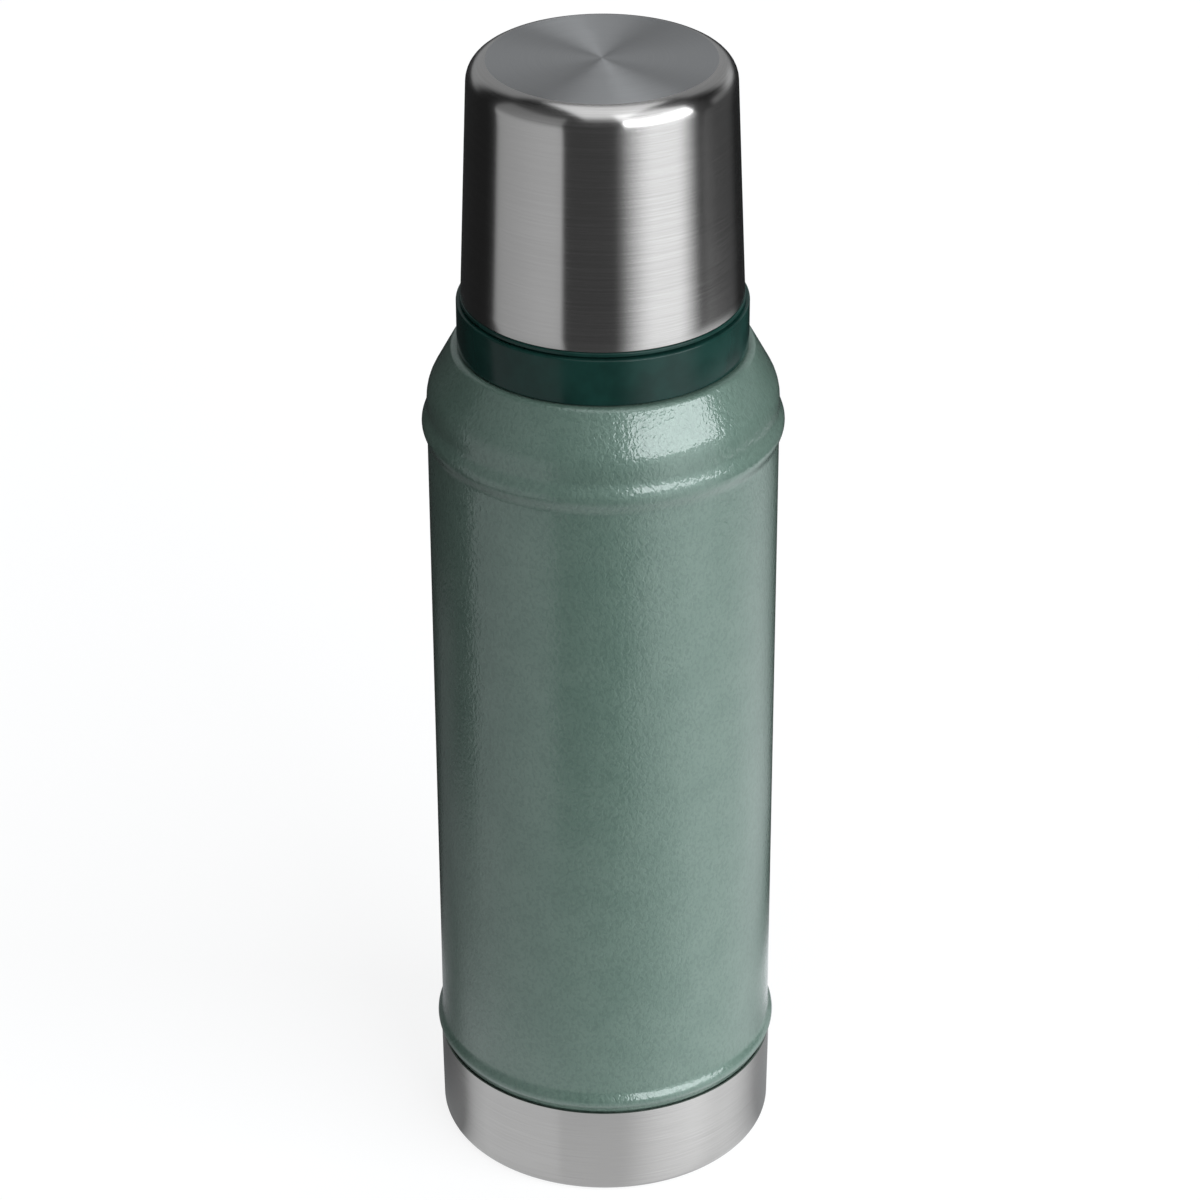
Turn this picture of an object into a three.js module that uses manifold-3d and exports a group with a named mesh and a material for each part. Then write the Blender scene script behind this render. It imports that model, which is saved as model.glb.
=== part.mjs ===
// A handle-less steel vacuum flask: painted double-wall bottle on a bare steel base, plastic neck collar,
// screw-on drinking cup and a twist-and-pour stopper in the neck under the cup.
// Millimetres, +Z up. The origin is the centre of the circle that the flask stands on.
// Every turned piece is an outline of [radius, height] corners. A third number is that corner's rounding.
import * as THREE from "three";
import { mergeVertices } from "three/addons/utils/BufferGeometryUtils.js";
import Module from "manifold-3d";

const wasm = await Module();
wasm.setup();

// Driving dimensions
const FACETS = 32; // round every turned piece
const ARC_STEP = Math.PI / 8; // largest turn between two points of a rounding
const SMALL_ROUNDING = 2; // below this a rounding is one chamfer
const CLEAR = 0.3; // gap between pieces that touch
const STEEL = 0.5; // outer sheet: painted shell, base and cup
const VESSEL_STEEL = 0.4; // sheet of the inner vessel

const BODY_R = 43.64;
const UPPER_BEAD = { z: 207.58, half: 4.74, height: 1.33 };
const LOWER_BEAD = { z: 29.26, half: 3.16, height: 1.26 };
const SHOULDER_Z = 216.66; // where the wall line and the cone line cross
const SHOULDER_ROUNDING = 12.18;
const SHOULDER_SLOPE = THREE.MathUtils.degToRad(28.6); // off the vertical
const LEDGE_Z = 228.4; // flat top of the shoulder, under the collar
const SHELL_NECK_R = 27.6;

const BASE_FOOT_R = 43.75;
const BASE_RIM_R = 44.08;
const BASE_H = 25.74;
const BASE_ROUNDING = 2.64;
const RECESS_R = 30; // raised middle of the underside
const RECESS_H = 1.5;

const VESSEL_R = 35.5; // outside of the inner vessel's wall
const VESSEL_FLOOR_Z = 16.5;
const VESSEL_SEAM_Z = 23.7; // bottom cap welded on here
const VESSEL_SHOULDER_Z = 213;
const NECK_SEAM_Z = 226; // neck tube welded on the vessel's shoulder here
const THROAT_R = 21.8;
const SEAT_Z = 235.5; // step that the stopper's gasket lands on
const NECK_R = 25.4;
const LIP_R = 27.8;
const LIP_Z = 260.9; // underside of the lip, over the shell's neck
const RIM_Z = LIP_Z + VESSEL_STEEL;

// Outer bottom, which shuts the vacuum space
const CLOSURE = { low: 9.5, r: 41.3, rounding: 1.5, flange: 3, holeR: 1.5 };
const BRAZE = { r: 4, tipR: 2.4, tipH: 0.4, h: 2.2 }; // bead over the closure's hole
const PAD = { holeR: 7, r: 38, h: 3.5 };
const FOIL = { low: 30, high: 198, thickness: 0.3 };
const CLIP = { x: 20, length: 8, width: 9, height: 3, sheet: 0.5 };
const PELLET = { r: 3.2, h: 2.3 };

const COLLAR_R = 35.88;
const COLLAR_TOP_Z = 240.6;
const COLLAR_RING_TOP_Z = 256.2;
const COLLAR_RING_R = 29.4; // root of the cup thread
const COLLAR_BEVEL = 0.45;
const COLLAR_RING_BEVEL = 0.7;
const COLLAR_RELIEF = 1.4; // clears the bend at the foot of the shell's neck

const CUP_Z = 241; // lower face of the cup's flange, screwed down
const CUP_TOP = 61.69; // crown height over that face
const CUP_MOUTH_R = 34.7;
const CUP_CROWN_R = 32.25;
const CUP_ROUNDING = 5.6;
const CUP_WALL = 1.55; // plastic liner
const CUP_BORE_R = 31.3;
const CUP_FLANGE = { r: 35, h: 1.1 };
const CUP_SHELL_LOW = CUP_FLANGE.h + CLEAR; // edge of the steel, over the flange
const CUP_POCKET = { r: 33, top: 2.4 }; // holds the seal
const CUP_TAPER_Z = 18; // the bore is straight up to here, along the thread

const STOPPER_R = 23.2; // root of the stopper thread
const STOPPER_BORE_R = 20;
const STOPPER_BOTTOM = -22.3; // lower end of the threaded body, under the neck's rim
const STOPPER_FLANGE = { r: 26.5, low: 1, high: 3 };
const GRIP = { r: 25.3, flute: 0.7, flutes: 12, top: 19, bevel: 1, roof: 3.5 };
const CHANNEL = { width: 9, floorR: 21.6, depth: 5 }; // the drink pours up these
const SPOOL = { r: 18.2, h: 3.1, plateR: 20.8, plateH: 2.5, bevel: 0.5, plugH: 2.4 };
const GASKET = { inR: 18.5, h: 2.5, bevel: 0.8 };

const PITCH = 5; // both threads: a lift of 5 for each turn, right-handed
const TURNS = 2;
// Thread ridges: where the middle of each starts, and the radius of the bar
const COLLAR_RIDGE = { low: COLLAR_TOP_Z + 3.4, barR: 1.4 };
const CUP_RIDGE = { low: 5.5, barR: 1.2 };
const NECK_RIDGE = { low: RIM_Z - 19.4, barR: 1 };
const STOPPER_RIDGE = { low: -16.9, barR: 1.3 };

const COLOURS = {
  paint: [0x6c837a, 0.45, 0.3],
  steel: [0xb9bbbb, 0.32, 1],
  vesselSteel: [0xc2c3c2, 0.25, 1],
  greenPlastic: [0x16322e, 0.35, 0],
  darkPlastic: [0x20282a, 0.5, 0],
  silicone: [0xd8d8d2, 0.6, 0],
  foam: [0xe8e4d8, 0.95, 0],
  fibre: [0x8d7a5c, 0.95, 0],
  foil: [0xc08457, 0.3, 1],
  braze: [0xb59a55, 0.4, 1],
  getter: [0x55585c, 0.7, 0.6],
};

// Outlines

// Replaces each corner that has a rounding by an arc.
function rounded(corners) {
  const points = [];
  corners.forEach(([r, z, rounding], i) => {
    const corner = new THREE.Vector2(r, z);
    if (!rounding) {
      points.push(corner);
      return;
    }
    const before = new THREE.Vector2(...corners[i - 1]).sub(corner).normalize();
    const after = new THREE.Vector2(...corners[(i + 1) % corners.length]).sub(corner).normalize();
    const half = Math.acos(before.dot(after)) / 2;
    const centre = before.clone().add(after).setLength(rounding / Math.sin(half)).add(corner);
    const from = before.clone().multiplyScalar(rounding / Math.tan(half)).add(corner).sub(centre);
    const turn = (Math.PI - 2 * half) * Math.sign(after.cross(before));
    const steps = rounding < SMALL_ROUNDING ? 1 : Math.ceil(Math.abs(turn) / ARC_STEP);
    for (let k = 0; k <= steps; k++) {
      points.push(from.clone().rotateAround(new THREE.Vector2(), (turn * k) / steps).add(centre));
    }
  });
  return points;
}

// A closed outline of sheet metal: the path, and the path again at one sheet's thickness to its left.
function sheet(corners, thickness) {
  const path = rounded(corners);
  const left = path.map((p, i) => {
    const into = p.clone().sub(path[Math.max(i - 1, 0)]).normalize();
    const out = path[Math.min(i + 1, path.length - 1)].clone().sub(p).normalize();
    const along = into.clone().add(out).normalize();
    const mitre = thickness / Math.max(along.dot(i ? into : out), 0.5);
    return new THREE.Vector2(p.x - along.y * mitre, p.y + along.x * mitre);
  });
  return [...path, ...left.reverse()];
}

// Points of a bead raised from a wall, bottom to top.
function bead(wallR, { z, half, height }, steps = 4) {
  return Array.from({ length: steps + 1 }, (_, k) => {
    const t = (2 * k) / steps - 1;
    return [wallR + (height * (1 + Math.cos(Math.PI * t))) / 2, z + half * t];
  });
}

// Solids

function solid(geometry) {
  geometry.deleteAttribute("normal");
  geometry.deleteAttribute("uv");
  const merged = mergeVertices(geometry, 1e-4);
  const faces = [];
  for (let i = 0; i < merged.index.count; i += 3) {
    const [a, b, c] = merged.index.array.slice(i, i + 3);
    if (a !== b && b !== c && c !== a) faces.push(a, b, c);
  }
  const vertProperties = merged.attributes.position.array;
  return new wasm.Manifold(
    new wasm.Mesh({ numProp: 3, vertProperties, triVerts: new Uint32Array(faces) }),
  );
}

function turned(outline) {
  const points = outline.map((p) => (p.isVector2 ? p : new THREE.Vector2(...p)));
  const closed = points[0].x > 0 || points.at(-1).x > 0;
  if (closed) points.push(points[0].clone());
  return solid(new THREE.LatheGeometry(points, FACETS).rotateX(Math.PI / 2));
}

class Helix extends THREE.Curve {
  constructor(radius, low, turns) {
    super();
    Object.assign(this, { radius, low, turns });
  }
  getPoint(t, target = new THREE.Vector3()) {
    const angle = 2 * Math.PI * this.turns * t;
    return target.set(
      this.radius * Math.cos(angle),
      this.radius * Math.sin(angle),
      this.low + PITCH * this.turns * t,
    );
  }
}

// A rounded thread ridge: a round bar along a helix, half sunk in the wall that it belongs to.
function ridge(wallR, { low, barR }) {
  const section = new THREE.Shape().absarc(0, 0, barR, 0, 2 * Math.PI);
  return solid(
    new THREE.ExtrudeGeometry(section, {
      curveSegments: 3,
      steps: 16 * TURNS,
      extrudePath: new Helix(wallR, low, TURNS),
    }),
  );
}

function block(width, depth, height, x, y, z) {
  return solid(new THREE.BoxGeometry(width, depth, height).translate(x, y, z + height / 2));
}

function piece(name, shape, [color, roughness, metalness]) {
  const { vertProperties, triVerts } = shape.getMesh();
  const geometry = new THREE.BufferGeometry();
  geometry.setAttribute("position", new THREE.BufferAttribute(vertProperties, 3));
  geometry.setIndex(new THREE.BufferAttribute(triVerts, 1));
  geometry.computeVertexNormals();
  const material = new THREE.MeshStandardMaterial({ color, roughness, metalness });
  const mesh = new THREE.Mesh(geometry, material);
  mesh.name = name;
  return mesh;
}

// Bottle

// Painted shell: its plain lower end is tucked into the base, its neck stands inside the collar.
function outerShell() {
  const tuckR = BASE_FOOT_R - STEEL - CLEAR - 0.1;
  const hemZ = LOWER_BEAD.z - LOWER_BEAD.half;
  const ledgeR = BODY_R - (LEDGE_Z - SHOULDER_Z) * Math.tan(SHOULDER_SLOPE);
  return turned(
    sheet(
      [
        [tuckR, CLOSURE.low - CLOSURE.flange],
        [tuckR, hemZ - 0.05],
        ...bead(BODY_R, LOWER_BEAD),
        ...bead(BODY_R, UPPER_BEAD),
        [BODY_R, SHOULDER_Z, SHOULDER_ROUNDING],
        [ledgeR, LEDGE_Z, 1],
        [SHELL_NECK_R, LEDGE_Z, 1.2],
        [SHELL_NECK_R, LIP_Z - CLEAR],
      ],
      STEEL,
    ),
  );
}

// Bare steel base, standing on a flat ring with a raised middle.
function baseCup() {
  return turned(
    sheet(
      [
        [0, RECESS_H],
        [RECESS_R, RECESS_H],
        [RECESS_R + RECESS_H, 0],
        [BASE_FOOT_R, 0, BASE_ROUNDING],
        [BASE_RIM_R, BASE_H],
      ],
      STEEL,
    ),
  );
}

// Dished disc that closes the vacuum space. The air is drawn out through its middle hole.
function outerBottom() {
  const { low, r, rounding, flange, holeR } = CLOSURE;
  return turned(sheet([[holeR, low], [r, low, rounding], [r, low - flange]], STEEL));
}

// Bead of braze over the evacuation hole.
function vacuumSeal() {
  const { r, tipR, tipH, h } = BRAZE;
  const top = CLOSURE.low - CLEAR;
  return turned([[0, top - h], [tipR, top - h + tipH], [r, top], [0, top]]);
}

// Fibre disc between the base and the closure, holed for the seal.
function basePad() {
  const { holeR, r, h } = PAD;
  const low = RECESS_H + STEEL + CLEAR;
  return turned([[holeR, low], [r, low], [r, low + h], [holeR, low + h]]);
}

// Inner vessel: wall and shoulder, drawn in to the throat.
function innerVessel() {
  return turned(
    sheet(
      [
        [VESSEL_R, VESSEL_SEAM_Z + CLEAR],
        [VESSEL_R, VESSEL_SHOULDER_Z, 12],
        [THROAT_R, VESSEL_SHOULDER_Z + 9, 3],
        [THROAT_R, NECK_SEAM_Z],
      ],
      VESSEL_STEEL,
    ),
  );
}

// Neck tube: throat, seat for the stopper's gasket, thread, and the lip that is welded to the shell.
function innerNeck() {
  const wall = turned(
    sheet(
      [
        [THROAT_R, NECK_SEAM_Z + CLEAR],
        [THROAT_R, SEAT_Z, 0.6],
        [NECK_R, SEAT_Z, 1.2],
        [NECK_R, LIP_Z, 0.6],
        [LIP_R, LIP_Z],
      ],
      VESSEL_STEEL,
    ),
  );
  const boreR = NECK_R - VESSEL_STEEL;
  const insideWall = turned([[0, SEAT_Z], [boreR + 0.3, SEAT_Z], [boreR + 0.3, LIP_Z], [0, LIP_Z]]);
  return wall.add(ridge(boreR, NECK_RIDGE).intersect(insideWall));
}

function innerBottom() {
  return turned(
    sheet([[0, VESSEL_FLOOR_Z], [VESSEL_R, VESSEL_FLOOR_Z, 7], [VESSEL_R, VESSEL_SEAM_Z]], VESSEL_STEEL),
  );
}

// Copper foil round the vessel, which turns radiant heat back.
function radiationFoil() {
  const inR = VESSEL_R + CLEAR;
  const outR = inR + FOIL.thickness;
  return turned([[inR, FOIL.low], [outR, FOIL.low], [outR, FOIL.high], [inR, FOIL.high]]);
}

// Getter: a pellet that soaks up stray gas, held in a sprung clip on the closure.
function getterClip() {
  const { x, length, width, height } = CLIP;
  const low = CLOSURE.low + STEEL + CLEAR;
  const outer = block(width, length, height, x, 0, low);
  const inner = block(width - 2 * CLIP.sheet, 2 * length, height, x, 0, low + CLIP.sheet);
  return outer.subtract(inner);
}

function getterPellet() {
  const { r, h } = PELLET;
  const low = CLOSURE.low + STEEL + CLIP.sheet + 2 * CLEAR;
  return turned([[0, low], [r, low], [r, low + h], [0, low + h]]).translate(CLIP.x, 0, 0);
}

// Collar pressed on the neck: a smooth band on the ledge, and above it a ring with the cup's thread.
function neckCollar() {
  const low = LEDGE_Z + CLEAR;
  const boreR = SHELL_NECK_R + CLEAR;
  const ring = turned([
    [boreR, low + COLLAR_RELIEF],
    [boreR + COLLAR_RELIEF, low],
    [COLLAR_R, low],
    [COLLAR_R, COLLAR_TOP_Z - COLLAR_BEVEL],
    [COLLAR_R - COLLAR_BEVEL, COLLAR_TOP_Z],
    [COLLAR_RING_R, COLLAR_TOP_Z],
    [COLLAR_RING_R, COLLAR_RING_TOP_Z - COLLAR_RING_BEVEL],
    [COLLAR_RING_R - COLLAR_RING_BEVEL, COLLAR_RING_TOP_Z],
    [boreR, COLLAR_RING_TOP_Z],
  ]);
  const bore = turned([[0, LEDGE_Z], [boreR, LEDGE_Z], [boreR, LIP_Z], [0, LIP_Z]]);
  return ring.add(ridge(COLLAR_RING_R, COLLAR_RIDGE).subtract(bore));
}

// Cup: heights are over the lower face of its flange

function cupShell() {
  return turned(
    sheet([[CUP_MOUTH_R, CUP_SHELL_LOW], [CUP_CROWN_R, CUP_TOP, CUP_ROUNDING], [0, CUP_TOP]], STEEL),
  );
}

// Plastic liner: a flange under the steel's edge, a pocket for the seal, the thread and the cup's inside.
function cupLiner() {
  const inset = STEEL + CLEAR;
  const outsideTop = CUP_TOP - inset;
  const insideTop = outsideTop - CUP_WALL;
  const outside = rounded([
    [CUP_POCKET.r, 0],
    [CUP_FLANGE.r, 0],
    [CUP_FLANGE.r, CUP_FLANGE.h],
    [CUP_MOUTH_R - inset, CUP_FLANGE.h],
    [CUP_CROWN_R - inset, outsideTop, CUP_ROUNDING - inset],
    [0, outsideTop],
  ]);
  const inside = rounded([
    [0, insideTop],
    [CUP_CROWN_R - inset - CUP_WALL, insideTop, CUP_ROUNDING - inset - CUP_WALL],
    [CUP_BORE_R, CUP_TAPER_Z],
    [CUP_BORE_R, CUP_POCKET.top],
    [CUP_POCKET.r, CUP_POCKET.top],
  ]);
  return turned([...outside, ...inside]).add(ridge(CUP_BORE_R, CUP_RIDGE));
}

// Silicone ring in the liner's pocket, which lands on the collar.
function cupSeal() {
  const inR = CUP_BORE_R + 0.1;
  const outR = CUP_POCKET.r - CLEAR;
  const low = -0.1;
  const high = CUP_POCKET.top - CLEAR;
  const middle = (low + high) / 2;
  const bulge = 0.1; // how far its sides swell between the top and bottom faces
  return turned([
    [inR + bulge, low],
    [outR - bulge, low],
    [outR, middle],
    [outR - bulge, high],
    [inR + bulge, high],
    [inR, middle],
  ]);
}

// Stopper: heights are over the neck's rim

// Threaded plug, open at both ends for the foam, with two pouring channels down its sides.
function stopperBody() {
  const { width, floorR, depth } = CHANNEL;
  const plug = turned([
    [STOPPER_BORE_R, STOPPER_BOTTOM],
    [STOPPER_R, STOPPER_BOTTOM],
    [STOPPER_R, STOPPER_FLANGE.low],
    [STOPPER_FLANGE.r, STOPPER_FLANGE.low],
    [STOPPER_FLANGE.r, STOPPER_FLANGE.high],
    [STOPPER_BORE_R, STOPPER_FLANGE.high],
  ]).add(ridge(STOPPER_R, STOPPER_RIDGE));
  return [1, -1].reduce((body, side) => {
    const x = side * (floorR + depth / 2);
    return body.subtract(block(depth, width, -STOPPER_BOTTOM, x, 0, STOPPER_BOTTOM - 0.5));
  }, plug);
}

// Fluted grip, hollow underneath.
function stopperCap() {
  const outline = new THREE.Shape(
    Array.from({ length: 6 * GRIP.flutes }, (_, k) => {
      const angle = (2 * Math.PI * k) / (6 * GRIP.flutes);
      const r = GRIP.r + GRIP.flute * Math.cos(GRIP.flutes * angle);
      return new THREE.Vector2(r * Math.cos(angle), r * Math.sin(angle));
    }),
  );
  const low = STOPPER_FLANGE.high + CLEAR;
  const grip = new THREE.ExtrudeGeometry(outline, {
    depth: GRIP.top - low - 2 * GRIP.bevel,
    bevelThickness: GRIP.bevel,
    bevelSize: GRIP.bevel,
    bevelOffset: -GRIP.bevel,
    bevelSegments: 1,
  }).translate(0, 0, low + GRIP.bevel);
  const top = GRIP.top - GRIP.roof;
  const hollow = turned([[0, low - 1], [STOPPER_BORE_R, low - 1], [STOPPER_BORE_R, top], [0, top]]);
  return solid(grip).subtract(hollow);
}

// Foam core, through the plug and up into the grip.
function stopperFoam() {
  const low = STOPPER_BOTTOM + SPOOL.plugH + CLEAR;
  const top = GRIP.top - GRIP.roof - CLEAR;
  const r = STOPPER_BORE_R - CLEAR;
  return turned([[0, low], [r, low], [r, top], [0, top]]);
}

// Closing plug under the body, with a spool that the gasket sits in.
function stopperBase() {
  const { r, h, plateR, plateH, bevel, plugH } = SPOOL;
  const plateTop = STOPPER_BOTTOM - h;
  const plateLow = plateTop - plateH;
  const plugR = STOPPER_BORE_R - CLEAR;
  return turned([
    [0, plateLow],
    [plateR - bevel, plateLow],
    [plateR, plateLow + bevel],
    [plateR, plateTop],
    [r, plateTop],
    [r, STOPPER_BOTTOM],
    [plugR, STOPPER_BOTTOM],
    [plugR, STOPPER_BOTTOM + plugH],
    [0, STOPPER_BOTTOM + plugH],
  ]);
}

// Silicone gasket round the spool, which closes on the neck's seat.
function stopperGasket() {
  const { inR, h, bevel } = GASKET;
  const high = STOPPER_BOTTOM - CLEAR;
  const low = high - h;
  return turned([
    [inR, low],
    [STOPPER_R - bevel, low],
    [STOPPER_R, low + bevel],
    [STOPPER_R, high - bevel],
    [STOPPER_R - bevel, high],
    [inR, high],
  ]);
}

const bottle = new THREE.Group().add(
  piece("outer_shell", outerShell(), COLOURS.paint),
  piece("base_cup", baseCup(), COLOURS.steel),
  piece("base_pad", basePad(), COLOURS.fibre),
  piece("outer_bottom", outerBottom(), COLOURS.vesselSteel),
  piece("vacuum_seal", vacuumSeal(), COLOURS.braze),
  piece("getter_clip", getterClip(), COLOURS.vesselSteel),
  piece("getter_pellet", getterPellet(), COLOURS.getter),
  piece("radiation_foil", radiationFoil(), COLOURS.foil),
  piece("inner_bottom", innerBottom(), COLOURS.vesselSteel),
  piece("inner_vessel", innerVessel(), COLOURS.vesselSteel),
  piece("inner_neck", innerNeck(), COLOURS.vesselSteel),
  piece("neck_collar", neckCollar(), COLOURS.greenPlastic),
);

const cup = new THREE.Group().add(
  piece("cup_shell", cupShell(), COLOURS.steel),
  piece("cup_liner", cupLiner(), COLOURS.greenPlastic),
  piece("cup_seal", cupSeal(), COLOURS.silicone),
);
cup.position.z = CUP_Z;

const stopper = new THREE.Group().add(
  piece("stopper_body", stopperBody(), COLOURS.darkPlastic),
  piece("stopper_cap", stopperCap(), COLOURS.greenPlastic),
  piece("stopper_foam", stopperFoam(), COLOURS.foam),
  piece("stopper_base", stopperBase(), COLOURS.darkPlastic),
  piece("stopper_gasket", stopperGasket(), COLOURS.silicone),
);
stopper.position.z = RIM_Z;

export default new THREE.Group().add(bottle, cup, stopper);
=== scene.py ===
"""Looks of the vacuum flask.

Every piece but the getter and its clip is turned again at a fine step, at its CAD solid's sizes. All of them
have procedural materials. Outlines are (radius, height) corners in millimetres, and a third number is that
corner's rounding.
"""
import math

import bpy
import numpy as np
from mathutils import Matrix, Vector


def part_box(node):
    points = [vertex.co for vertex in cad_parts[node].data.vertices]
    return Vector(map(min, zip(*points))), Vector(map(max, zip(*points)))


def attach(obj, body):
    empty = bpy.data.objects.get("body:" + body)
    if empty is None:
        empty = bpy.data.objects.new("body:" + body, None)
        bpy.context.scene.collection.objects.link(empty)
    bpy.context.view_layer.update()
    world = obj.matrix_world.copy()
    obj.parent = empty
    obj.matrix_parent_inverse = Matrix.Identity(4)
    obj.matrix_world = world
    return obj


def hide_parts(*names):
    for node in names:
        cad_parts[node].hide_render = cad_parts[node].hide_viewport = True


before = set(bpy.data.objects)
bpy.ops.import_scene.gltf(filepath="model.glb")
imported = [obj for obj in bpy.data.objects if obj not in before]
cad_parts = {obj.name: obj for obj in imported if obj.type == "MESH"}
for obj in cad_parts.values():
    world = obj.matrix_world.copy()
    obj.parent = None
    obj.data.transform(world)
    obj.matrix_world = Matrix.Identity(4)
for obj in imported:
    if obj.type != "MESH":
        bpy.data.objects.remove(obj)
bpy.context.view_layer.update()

MM = 0.001


def reach(node):
    """A CAD node's outer radius, lowest and highest height, in millimetres."""
    low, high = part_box(node)
    return high.x / MM, low.z / MM, high.z / MM


# Sizes from the frame

BASE_R, _, BASE_TOP = reach("base_cup")
BEAD_R, SHELL_LOW, SHELL_NECK_TOP = reach("outer_shell")
COLLAR_R, COLLAR_LOW, RING_TOP = reach("neck_collar")
FLANGE_R, CUP_LOW, LINER_TOP = reach("cup_liner")
CUP_MOUTH_R, CUP_SHELL_LOW, CUP_TOP = reach("cup_shell")
LIP_R, NECK_LOW, RIM_Z = reach("inner_neck")
VESSEL_R, VESSEL_LOW, VESSEL_TOP = reach("inner_vessel")
_, FLOOR_Z, FLOOR_TOP = reach("inner_bottom")
CLOSURE_R, CLOSURE_LOW, CLOSURE_TOP = reach("outer_bottom")
FOIL_R, FOIL_LOW, FOIL_TOP = reach("radiation_foil")
PAD_R, PAD_LOW, PAD_TOP = reach("base_pad")
SEAL_R, SEAL_LOW, SEAL_TOP = reach("vacuum_seal")
CUP_SEAL_R, CUP_SEAL_LOW, CUP_SEAL_TOP = reach("cup_seal")
GASKET_R, GASKET_LOW, GASKET_TOP = reach("stopper_gasket")
PLUG_FLANGE_R, PLUG_LOW, PLUG_TOP = reach("stopper_body")
SPOOL_R, SPOOL_LOW, SPOOL_TOP = reach("stopper_base")
GRIP_R, GRIP_LOW, GRIP_TOP = reach("stopper_cap")
FOAM_R, FOAM_LOW, FOAM_TOP = reach("stopper_foam")

# Sizes that the frame doesn't give

STEEL = 0.5  # sheet of the shell, base and cup
VESSEL_STEEL = 0.4  # sheet of the vessel and its neck
UPPER_BEAD = {"z": 207.58, "half": 4.74, "height": 1.33}
LOWER_BEAD = {"z": 29.26, "half": 3.16, "height": 1.26}
BODY_R = BEAD_R - UPPER_BEAD["height"]
FOOT_R = 43.75
SHOULDER_Z = 216.66
SHOULDER_SLOPE = math.radians(28.6)
LEDGE_Z = 228.4
SHELL_NECK_R = 27.6
CUP_CROWN_R = 32.25
CUP_ROUNDING = 5.6
VESSEL_THROAT_R = 21.8
PITCH = 5.0
TURNS = 2

FINE = 288  # steps round a piece that shows
PLAIN = 160  # steps round a piece inside
THREAD_STEP = 0.25  # height of a mesh row where a thread is
ON_AXIS = 1e-6


# Outlines

def rounded(corners, step=math.radians(9)):
    """The corners as points, each corner that has a rounding replaced by an arc."""
    points = []
    for i, corner in enumerate(corners):
        here = np.array(corner[:2], float)
        if len(corner) < 3:
            points.append(here)
            continue
        before = np.array(corners[i - 1][:2], float) - here
        after = np.array(corners[(i + 1) % len(corners)][:2], float) - here
        before /= np.linalg.norm(before)
        after /= np.linalg.norm(after)
        half = math.acos(np.clip(before @ after, -1, 1)) / 2
        middle = before + after
        centre = here + middle / np.linalg.norm(middle) * corner[2] / math.sin(half)
        start = here + before * corner[2] / math.tan(half) - centre
        turn = (math.pi - 2 * half) * np.sign(after[0] * before[1] - after[1] * before[0])
        steps = max(2, math.ceil(abs(turn) / step))
        for k in range(steps + 1):
            c, s = math.cos(turn * k / steps), math.sin(turn * k / steps)
            points.append(centre + np.array([c * start[0] - s * start[1], s * start[0] + c * start[1]]))
    return points


def sheet(corners, thickness, lip_steps=6):
    """A closed outline of sheet metal: the path, and the path again one thickness to its left.

    An end that isn't on the axis gets a round lip.
    """
    path = np.array(rounded(corners))
    along = np.diff(path, axis=0)
    along /= np.linalg.norm(along, axis=1)[:, None]
    into = np.vstack([along[:1], along])
    out = np.vstack([along, along[-1:]])
    mean = into + out
    mean /= np.linalg.norm(mean, axis=1)[:, None]
    mitre = thickness / np.maximum((mean * into).sum(1), 0.5)
    left = path + np.stack([-mean[:, 1], mean[:, 0]], 1) * mitre[:, None]

    def lip(edge, tip):
        """A half-round end from the path to its offset."""
        centre, spoke = (edge + tip) / 2, (edge - tip) / 2
        side = np.array([-spoke[1], spoke[0]])
        turns = np.linspace(0, math.pi, lip_steps + 1)[1:-1]
        return [centre + spoke * math.cos(t) + side * math.sin(t) for t in turns]

    points = list(path)
    if path[-1][0] > ON_AXIS:
        points += lip(path[-1], left[-1])
    points += list(left[::-1])
    if path[0][0] > ON_AXIS:
        points += lip(left[0], path[0])
    return points


def bead(wall_r, at, steps=18):
    """Points of a bead raised from a wall, bottom to top."""
    return [
        (wall_r + at["height"] * (1 + math.cos(math.pi * t)) / 2, at["z"] + at["half"] * t)
        for t in np.linspace(-1, 1, steps + 1)
    ]


# Meshes

def thread(wall_r, low, depth, width, side=1):
    """How far a rounded thread ridge lifts a wall at (angle, r, z), as a function for turned().

    The ridge is `depth` high and reaches `width` up and down from its middle; side is -1 on a bore.
    """
    fade = 0.5
    wall_slack = 0.05

    def lift(angle, r, z):
        near = np.clip(1 - np.abs(r - wall_r) / wall_slack, 0, 1)
        best = np.zeros_like(z)
        for turn in range(TURNS + 1):
            along = angle + 2 * math.pi * turn
            centre = low + PITCH * along / (2 * math.pi)
            run = np.minimum(along, 2 * math.pi * TURNS - along)
            end = np.clip(run / fade, 0, 1)
            ridge = np.clip(1 - ((z - centre) / width) ** 2, 0, 1) ** 0.75
            best = np.maximum(best, ridge * np.sin(end * math.pi / 2))
        return side * depth * best * near

    return lift


def threaded(wall_r, low, depth, width, margin, side=1):
    """What turned() needs for a thread: its ridge, and the stretch of wall that is split finely for it."""
    band = (low - width - margin, low + PITCH * TURNS + width + margin, wall_r)
    return {"bands": [band], "lifts": [thread(wall_r, low, depth, width, side)]}


def densified(points, longest, bands):
    """Splits stretches longer than `longest`, and a wall inside a (low, high, r) band to THREAD_STEP."""
    out = []
    count = len(points)
    wall_slack = 0.02
    for i in range(count):
        a, b = points[i], points[(i + 1) % count]
        out.append(a)
        if i == count - 1 and a[0] < ON_AXIS and b[0] < ON_AXIS:
            continue
        step = longest
        for low, high, r in bands:
            on_wall = abs(a[0] - r) < wall_slack and abs(b[0] - r) < wall_slack
            if on_wall and max(a[1], b[1]) > low and min(a[1], b[1]) < high:
                step = THREAD_STEP
        parts = math.ceil(np.linalg.norm(b - a) / step)
        out += [a + (b - a) * k / parts for k in range(1, parts)]
    return out


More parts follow.
